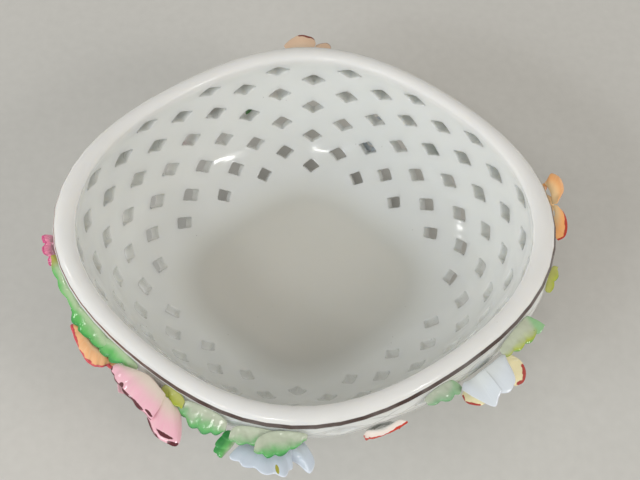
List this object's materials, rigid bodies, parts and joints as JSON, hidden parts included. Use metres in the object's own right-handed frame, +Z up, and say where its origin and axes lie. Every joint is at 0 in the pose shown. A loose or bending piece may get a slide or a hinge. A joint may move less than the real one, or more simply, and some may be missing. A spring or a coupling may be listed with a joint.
{
  "type": "reticulated trinket box",
  "caption": "Small open porcelain box on a foot ring, with a pierced lattice wall, a rolled lip and applied flowers and leaves.",
  "frame": {"origin": "centre of the footprint, on the surface that the foot ring stands on", "axes": "+Z up, +X along the longer side to the right, -Y towards the front"},
  "size_m": [0.1507, 0.1485, 0.0413],
  "materials": {
    "porcelain": "polished",
    "leaf_glaze": "polished",
    "stamen_glaze": "polished",
    "pink_glaze": "polished",
    "lime_glaze": "polished",
    "white_glaze": "polished",
    "lavender_glaze": "polished",
    "orange_glaze": "polished",
    "rose_glaze": "polished",
    "peach_glaze": "polished",
    "yellow_glaze": "polished"
  },
  "bodies": {
    "root": {"pierced_bowl": "porcelain", "foot_ring": "porcelain", "front_hanging_leaf": "leaf_glaze", "front_left_leaf": "leaf_glaze", "front_left_rose_centre": "stamen_glaze", "front_left_rose_petals": "pink_glaze", "front_middle_leaf": "leaf_glaze", "front_narrow_leaf": "lime_glaze", "front_right_leaf": "leaf_glaze", "front_small_flower_centre": "stamen_glaze", "front_small_flower_petals": "white_glaze", "front_white_flower_centre": "stamen_glaze", "front_white_flower_petals": "lavender_glaze", "left_low_leaf": "leaf_glaze", "left_middle_leaf": "leaf_glaze", "left_orange_flower_centre": "stamen_glaze", "left_orange_flower_petals": "orange_glaze", "left_rosette_centre": "rose_glaze", "left_rosette_petals": "rose_glaze", "left_top_leaf": "leaf_glaze", "rear_left_leaf": "leaf_glaze", "rear_left_pink_flower_centre": "stamen_glaze", "rear_left_pink_flower_petals": "pink_glaze", "rear_middle_leaf": "leaf_glaze", "rear_peach_flower_centre": "stamen_glaze", "rear_peach_flower_petals": "peach_glaze", "rear_right_leaf": "leaf_glaze", "rear_white_flower_centre": "stamen_glaze", "rear_white_flower_petals": "white_glaze", "right_front_leaf": "leaf_glaze", "right_front_pansy_centre": "stamen_glaze", "right_front_pansy_lower_petals": "yellow_glaze", "right_front_pansy_upper_petals": "lavender_glaze", "right_long_leaf": "lime_glaze", "right_orange_flower_centre": "stamen_glaze", "right_orange_flower_petals": "orange_glaze", "right_small_leaf": "lime_glaze"}
  },
  "joints": []
}
